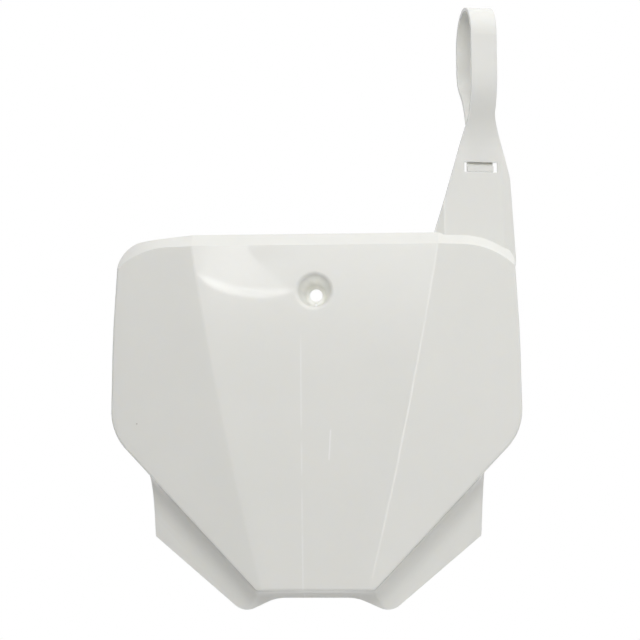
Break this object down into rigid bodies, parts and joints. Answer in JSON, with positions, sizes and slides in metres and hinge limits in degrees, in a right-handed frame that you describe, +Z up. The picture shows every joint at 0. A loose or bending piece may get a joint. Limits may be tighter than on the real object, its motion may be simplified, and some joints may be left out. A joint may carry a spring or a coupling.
{
  "type": "number board",
  "caption": "Moulded front number board for an off-road motorbike: a faceted shield with a recessed bolt hole, coved lower skirts and a hooked tie strap.",
  "frame": {"origin": "centre of the bolt hole on the floor of its cup, on the front face of the floor", "axes": "+Z up, -Y out of the board's front face along the bolt, +X towards the strap's side"},
  "size_m": [0.2382, 0.0451, 0.3535],
  "materials": {
    "white_plastic": "moulded gloss"
  },
  "bodies": {
    "root": {"number_board": "white_plastic"}
  },
  "joints": []
}
